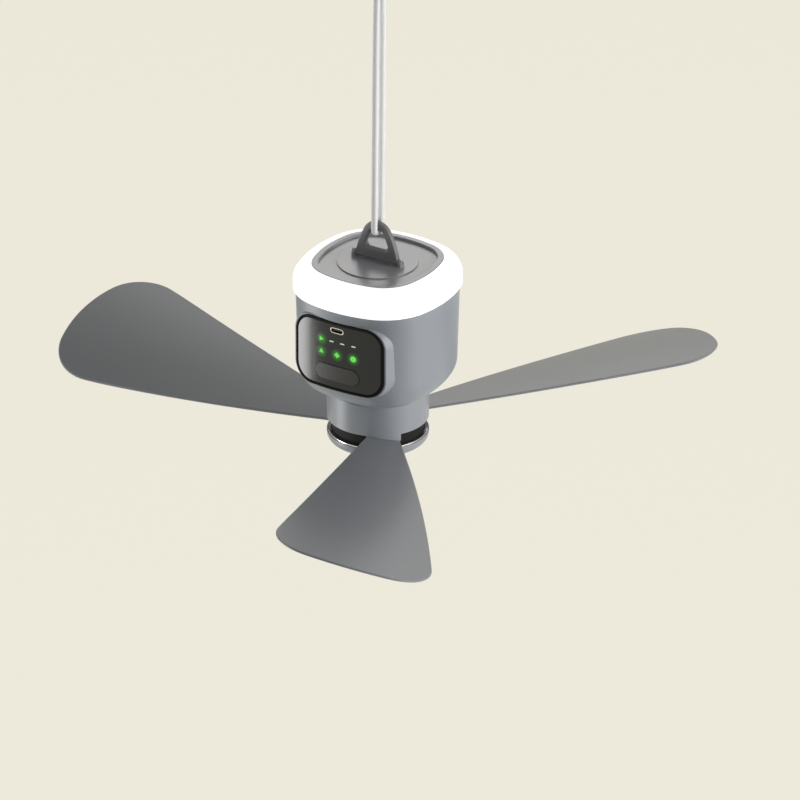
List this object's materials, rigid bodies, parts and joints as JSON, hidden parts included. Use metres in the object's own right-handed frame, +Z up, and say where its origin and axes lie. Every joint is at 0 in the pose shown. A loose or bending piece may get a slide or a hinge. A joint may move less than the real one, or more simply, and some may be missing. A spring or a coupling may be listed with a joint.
{
  "type": "hanging fan with lamp ring",
  "caption": "Rechargeable fan that hangs from a cord: soft-square body with a white lamp ring, a control panel in front and a blade rotor below.",
  "frame": {"origin": "top of the hook's eye, where the cord bears, on the rotor's axis", "axes": "+Z up along the rotor's axis, -Y out of the control panel, +X to the right when facing the panel"},
  "size_m": [0.3721, 0.4102, 0.361],
  "materials": {
    "body_grey": "satin moulded grey",
    "cover_grey": "semi-gloss dark grey",
    "hook_grey": "semi-gloss dark grey",
    "lamp_white": "translucent white",
    "panel_black": "polished black",
    "button_black": "satin black",
    "lens_green": "clear green lens",
    "lens_white": "clear white lens",
    "port_steel": "bright nickel",
    "bright_ring": "polished",
    "cord_white": "braided white cord",
    "carrier_black": "black moulding",
    "inner_black": "black moulding",
    "steel": "plain steel",
    "motor_alloy": "cast, machined",
    "board_green": "solder mask",
    "lamp_yellow": "phosphor",
    "cell_blue": "shrink sleeve",
    "copper": "enamelled winding",
    "magnet": "sintered"
  },
  "bodies": {
    "hook": {"hook_bail": "hook_grey", "hanging_cord": "cord_white", "cord_knot": "cord_white", "cord_loop": "cord_white"},
    "housing": {"hook_pin": "steel", "top_cover": "cover_grey", "cover_screws": "steel", "light_diffuser": "lamp_white", "led_board": "board_green", "led_chips": "lamp_yellow", "light_chassis": "inner_black", "chassis_screws": "steel", "main_housing": "body_grey", "panel_bezel": "panel_black", "control_panel": "panel_black", "green_indicators": "lens_green", "white_level_bars": "lens_white", "usb_port_shell": "port_steel", "usb_port_tongue": "inner_black", "control_board": "board_green", "board_screws": "steel", "indicator_leds": "lamp_yellow", "tact_switch": "inner_black", "battery_cells": "cell_blue", "battery_tray": "inner_black", "tray_screws": "steel", "cell_strips": "steel", "battery_board": "board_green", "motor_base": "motor_alloy", "base_screws": "steel", "stator_core": "steel", "stator_coils": "copper", "motor_board": "board_green", "upper_bearing": "steel", "lower_bearing": "steel"},
    "power_button": {"power_button": "button_black"},
    "rotor": {"motor_shaft": "steel", "shaft_clip": "steel", "rotor_can": "steel", "magnet_ring": "magnet", "hub_shell": "body_grey", "hub_screws": "steel", "blade_carrier": "carrier_black", "carrier_screws": "steel", "blade_1": "body_grey", "blade_2": "body_grey", "blade_3": "body_grey", "blade_screws": "steel", "chrome_ring": "bright_ring", "bottom_cap": "body_grey", "cap_screws": "steel"}
  },
  "joints": [
    {"name": "hook_swing", "type": "hinge", "parent": "hook", "child": "housing", "pos_m": [0, 0, -0.0193], "axis": [1, 0, 0], "range_deg": [-75, 75]},
    {"name": "rotor_spin", "type": "hinge", "parent": "housing", "child": "rotor", "pos_m": [0, 0, -0.1293], "axis": [0, 0, 1], "continuous": true},
    {"name": "button_press", "type": "slide", "parent": "housing", "child": "power_button", "axis": [0, 1, 0], "range_m": [0, 0.0008], "stiffness_N_per_m": 800}
  ]
}
